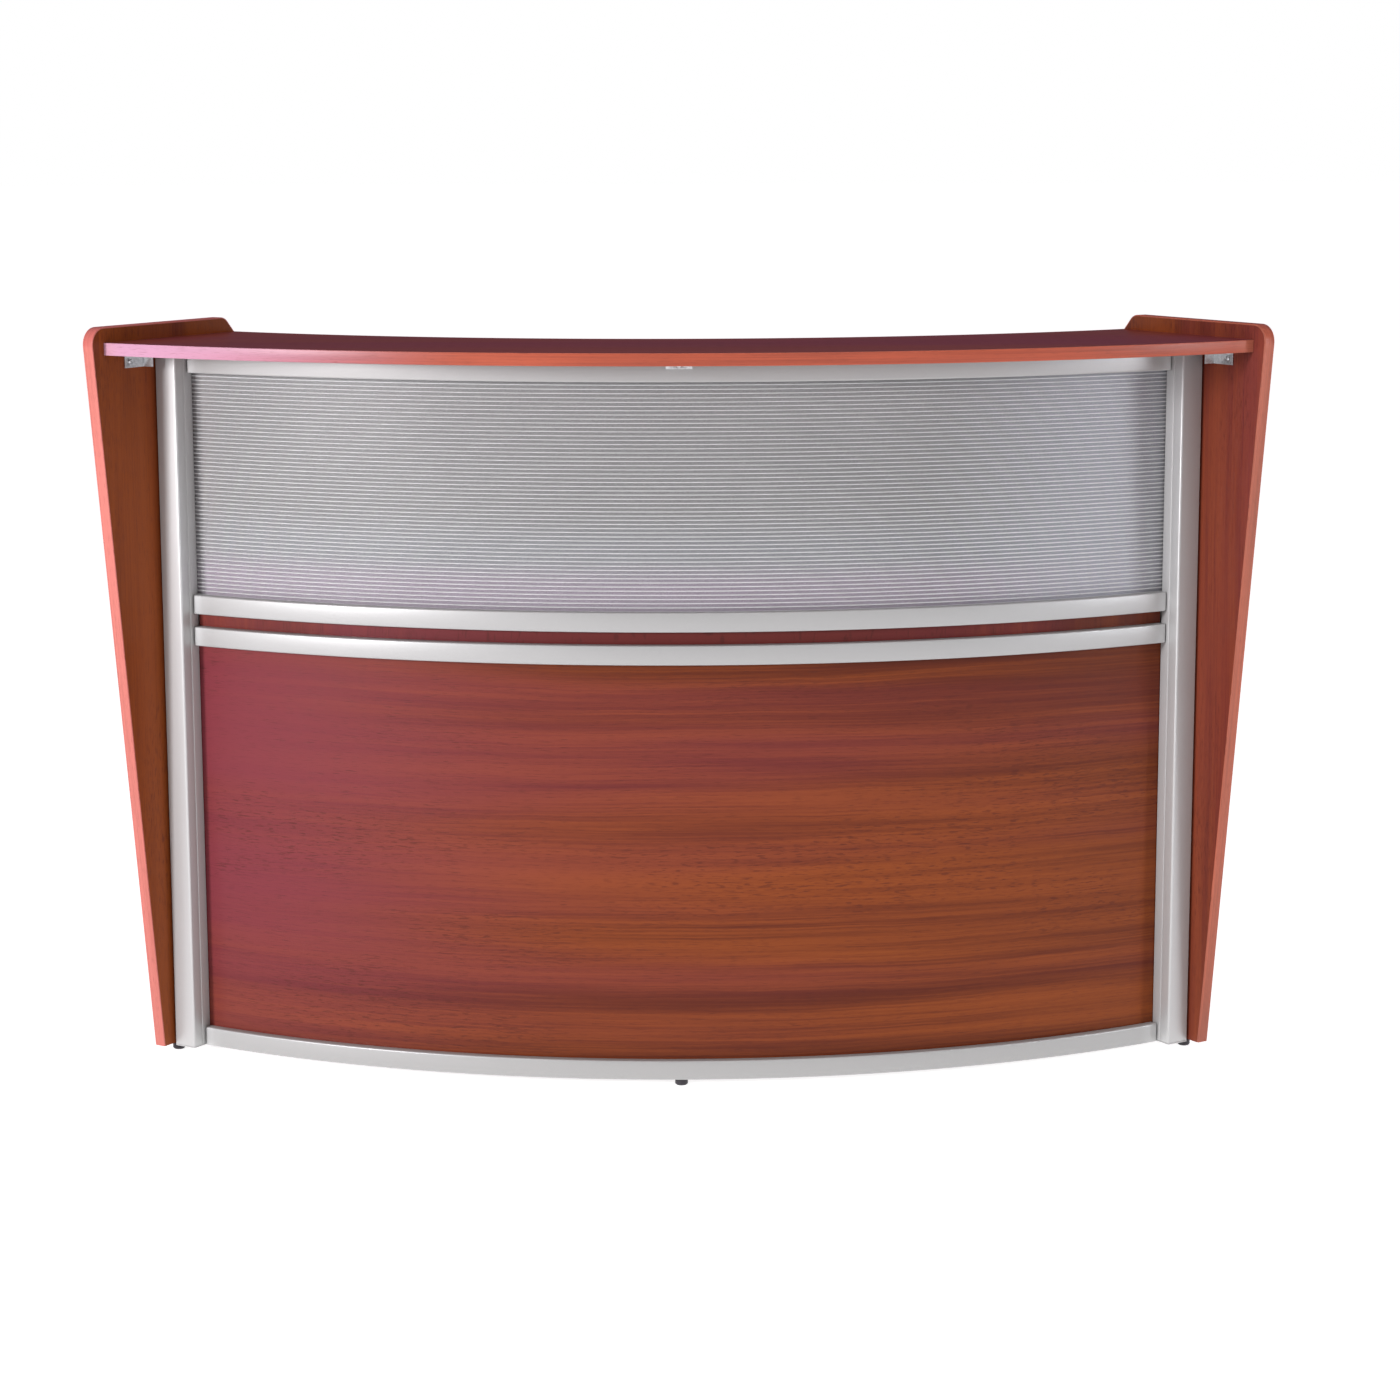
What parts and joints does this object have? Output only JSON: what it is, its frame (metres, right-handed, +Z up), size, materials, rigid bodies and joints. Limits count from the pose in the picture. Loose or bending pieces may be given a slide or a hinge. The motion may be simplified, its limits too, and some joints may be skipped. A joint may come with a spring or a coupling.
{
  "type": "curved reception counter",
  "caption": "Curved reception and checkout counter with a raised shelf, silver post and rail frame, ribbed translucent upper panel and cherry boards.",
  "frame": {"origin": "on the floor, under the middle of the counter's box", "axes": "+Z up, the convex front faces -Y, +X to the right of a person who faces the front"},
  "size_m": [1.8104, 0.8453, 1.1675],
  "materials": {
    "cherry_board": "satin cherry laminate on board",
    "edge_band": "satin cherry edge banding",
    "silver_frame": "satin silver powder coat",
    "polycarbonate": "translucent, ribbed",
    "zinc": "bright zinc plate",
    "black_plastic": "matt",
    "gray_plastic": "matt"
  },
  "bodies": {
    "counter": {"bottom_rail": "silver_frame", "center_bracket_rail_screw": "zinc", "center_bracket_shelf_screw": "zinc", "center_counter_bracket": "zinc", "center_glide_insert": "zinc", "counter_front_edge_band": "edge_band", "counter_rear_edge_band": "edge_band", "left_bracket_panel_screw": "zinc", "left_bracket_shelf_screw": "zinc", "left_cable_grommet": "gray_plastic", "left_cleat_front_screw": "zinc", "left_cleat_rear_screw": "zinc", "left_cleat_top_screw": "zinc", "left_counter_bracket": "zinc", "left_end_panel": "cherry_board", "left_end_panel_edge_band": "edge_band", "left_front_glide_insert": "zinc", "left_lower_bolt": "zinc", "left_lower_spacer": "black_plastic", "left_post": "silver_frame", "left_post_foot_cap": "silver_frame", "left_post_top_cap": "silver_frame", "left_rear_glide_insert": "zinc", "left_upper_bolt": "zinc", "left_upper_spacer": "black_plastic", "left_work_surface_cleat": "silver_frame", "lower_front_panel": "cherry_board", "lower_mid_rail": "silver_frame", "polycarbonate_panel": "polycarbonate", "right_bracket_panel_screw": "zinc", "right_bracket_shelf_screw": "zinc", "right_cable_grommet": "gray_plastic", "right_cleat_front_screw": "zinc", "right_cleat_rear_screw": "zinc", "right_cleat_top_screw": "zinc", "right_counter_bracket": "zinc", "right_end_panel": "cherry_board", "right_end_panel_edge_band": "edge_band", "right_front_glide_insert": "zinc", "right_lower_bolt": "zinc", "right_lower_spacer": "black_plastic", "right_post": "silver_frame", "right_post_foot_cap": "silver_frame", "right_post_top_cap": "silver_frame", "right_rear_glide_insert": "zinc", "right_upper_bolt": "zinc", "right_upper_spacer": "black_plastic", "right_work_surface_cleat": "silver_frame", "top_rail": "silver_frame", "transaction_counter": "cherry_board", "upper_mid_rail": "silver_frame", "work_surface": "cherry_board", "work_surface_edge_band": "edge_band"},
    "center_glide": {"center_glide": "black_plastic"},
    "left_front_glide": {"left_front_glide": "black_plastic"},
    "left_grommet_cap": {"left_grommet_cap": "gray_plastic"},
    "left_rear_glide": {"left_rear_glide": "black_plastic"},
    "right_front_glide": {"right_front_glide": "black_plastic"},
    "right_grommet_cap": {"right_grommet_cap": "gray_plastic"},
    "right_rear_glide": {"right_rear_glide": "black_plastic"}
  },
  "joints": [
    {"name": "center_glide_screw", "type": "slide", "parent": "counter", "child": "center_glide", "axis": [0, 0, -1], "range_m": [0, 0.012]},
    {"name": "left_front_glide_screw", "type": "slide", "parent": "counter", "child": "left_front_glide", "axis": [0, 0, -1], "range_m": [0, 0.012]},
    {"name": "left_rear_glide_screw", "type": "slide", "parent": "counter", "child": "left_rear_glide", "axis": [0, 0, -1], "range_m": [0, 0.012]},
    {"name": "right_front_glide_screw", "type": "slide", "parent": "counter", "child": "right_front_glide", "axis": [0, 0, -1], "range_m": [0, 0.012]},
    {"name": "right_rear_glide_screw", "type": "slide", "parent": "counter", "child": "right_rear_glide", "axis": [0, 0, -1], "range_m": [0, 0.012]},
    {"name": "left_grommet_cap_turn", "type": "hinge", "parent": "counter", "child": "left_grommet_cap", "pos_m": [-0.40347, -0.0904, 0.7113], "axis": [0, 0, 1], "continuous": true},
    {"name": "right_grommet_cap_turn", "type": "hinge", "parent": "counter", "child": "right_grommet_cap", "pos_m": [0.40347, -0.0904, 0.7113], "axis": [0, 0, 1], "continuous": true}
  ]
}
